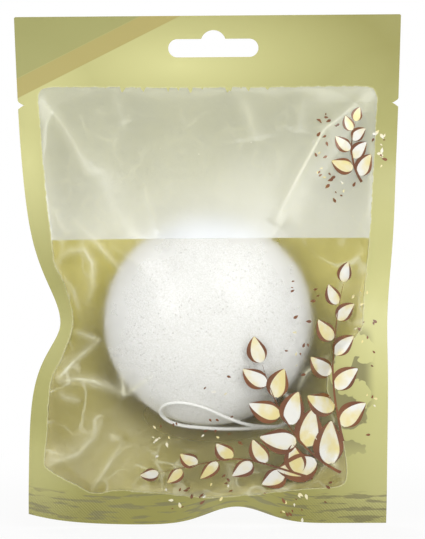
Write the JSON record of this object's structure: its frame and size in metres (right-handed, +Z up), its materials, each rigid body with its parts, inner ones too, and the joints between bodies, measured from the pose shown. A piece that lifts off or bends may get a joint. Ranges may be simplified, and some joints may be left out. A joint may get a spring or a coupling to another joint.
{
  "type": "konjac sponge",
  "caption": "Half-ball konjac face sponge with a cotton hanging loop, sealed in a flat see-through film pouch with a tear-off header and a hang slot.",
  "frame": {"origin": "middle of the hang slot, on the plane where the two webs of film are welded face to face", "axes": "+Z up as the pouch hangs, -Y out of its see-through front, +X to the right seen from the front"},
  "size_m": [0.1374, 0.0414, 0.1806],
  "materials": {
    "printed_film": "satin",
    "window_film": "gloss",
    "back_film": "satin",
    "sponge_foam": "matte",
    "cotton_thread": "matte"
  },
  "bodies": {
    "pouch": {"pouch_front_film": "window_film", "pouch_back_film": "back_film"},
    "header": {"header_front_film": "printed_film", "header_back_film": "back_film"},
    "sponge": {"sponge": "sponge_foam", "loop_knot": "cotton_thread", "hang_loop": "cotton_thread"}
  },
  "joints": [
    {"name": "tear_off", "type": "slide", "parent": "pouch", "child": "header", "axis": [0, 0, 1], "range_m": [0, 0.125]},
    {"name": "sponge_out", "type": "slide", "parent": "pouch", "child": "sponge", "axis": [0, 0, 1], "range_m": [0, 0.125], "deforming": ["pouch_front_film", "pouch_back_film"]}
  ],
  "couplings": [
    {"joint": "sponge_out", "follows": "tear_off", "ratio": 1}
  ]
}
